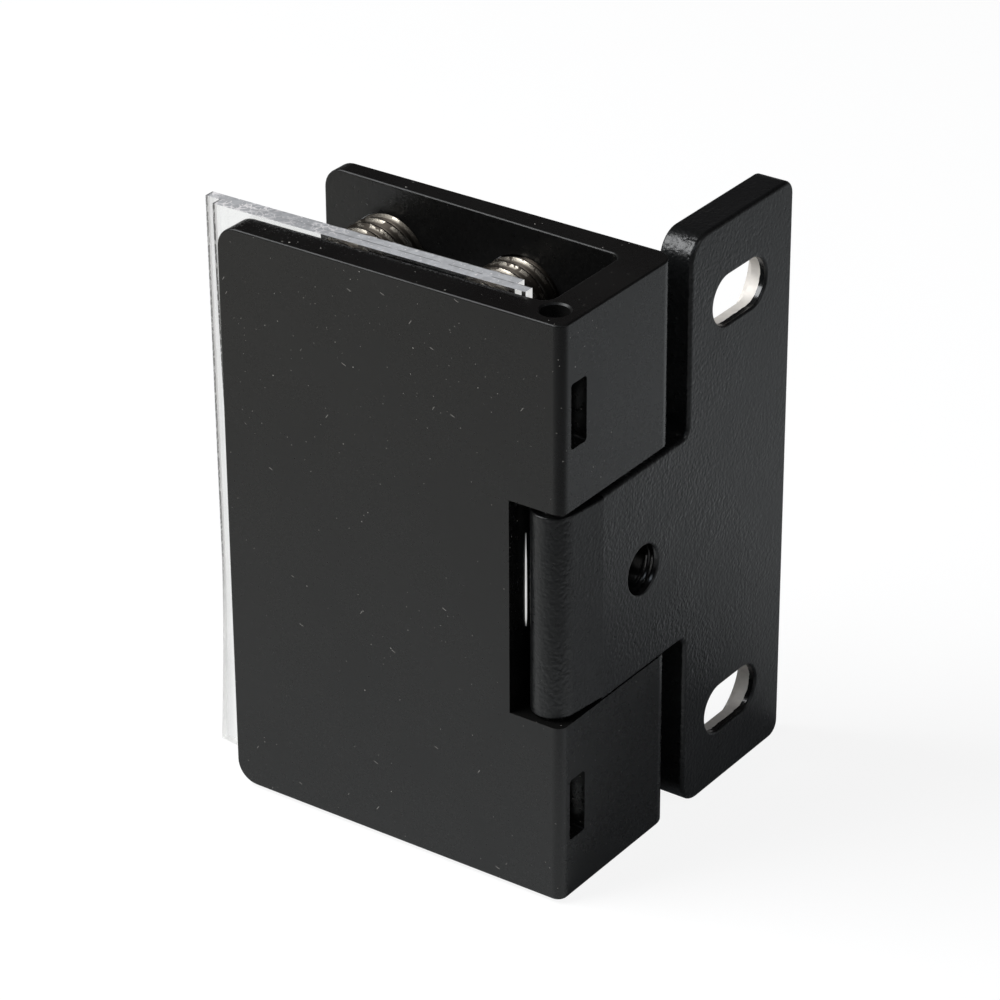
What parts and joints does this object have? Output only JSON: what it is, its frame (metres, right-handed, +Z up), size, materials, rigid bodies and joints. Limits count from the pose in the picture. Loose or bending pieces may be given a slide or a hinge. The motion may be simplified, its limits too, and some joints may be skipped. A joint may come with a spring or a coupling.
{
  "type": "glass door hinge",
  "caption": "Wall to glass hinge: a slotted T plate with a rolled knuckle, and a cast clamp body whose screws grip the glass through clear gasket sheets.",
  "frame": {"origin": "middle of the wall plate's slot pattern, on the face that goes against the wall", "axes": "+X out of the wall face, into the wall; +Z up along the hinge pin; the glass lies towards -X and the door opens towards -Y"},
  "size_m": [0.0649, 0.0576, 0.0912],
  "materials": {
    "satin_black": "satin black paint over a casting",
    "grained_black": "black paint with a fine orange peel grain",
    "pin_steel": "dark plain steel",
    "screw_chrome": "bright plating",
    "clear_gasket": "clear soft plastic with cut edges"
  },
  "bodies": {
    "wall_side": {"wall_plate": "grained_black"},
    "door_side": {"clamp_body": "satin_black", "hinge_pin": "pin_steel", "gasket_front": "clear_gasket", "gasket_rear": "clear_gasket"},
    "clamp_screw_lower_edge_body": {"clamp_screw_lower_edge": "screw_chrome"},
    "clamp_screw_lower_web_body": {"clamp_screw_lower_web": "screw_chrome"},
    "clamp_screw_upper_edge_body": {"clamp_screw_upper_edge": "screw_chrome"},
    "clamp_screw_upper_web_body": {"clamp_screw_upper_web": "screw_chrome"}
  },
  "joints": [
    {"name": "door_swing", "type": "hinge", "parent": "wall_side", "child": "door_side", "pos_m": [-0.00405, -0.0399, 0], "axis": [0, 0, 1], "range_deg": [0, 180]},
    {"name": "clamp_screw_lower_edge_travel", "type": "slide", "parent": "door_side", "child": "clamp_screw_lower_edge_body", "axis": [0, 1, 0], "range_m": [0, 0.012]},
    {"name": "clamp_screw_lower_web_travel", "type": "slide", "parent": "door_side", "child": "clamp_screw_lower_web_body", "axis": [0, 1, 0], "range_m": [0, 0.012]},
    {"name": "clamp_screw_upper_edge_travel", "type": "slide", "parent": "door_side", "child": "clamp_screw_upper_edge_body", "axis": [0, 1, 0], "range_m": [0, 0.012]},
    {"name": "clamp_screw_upper_web_travel", "type": "slide", "parent": "door_side", "child": "clamp_screw_upper_web_body", "axis": [0, 1, 0], "range_m": [0, 0.012]}
  ]
}
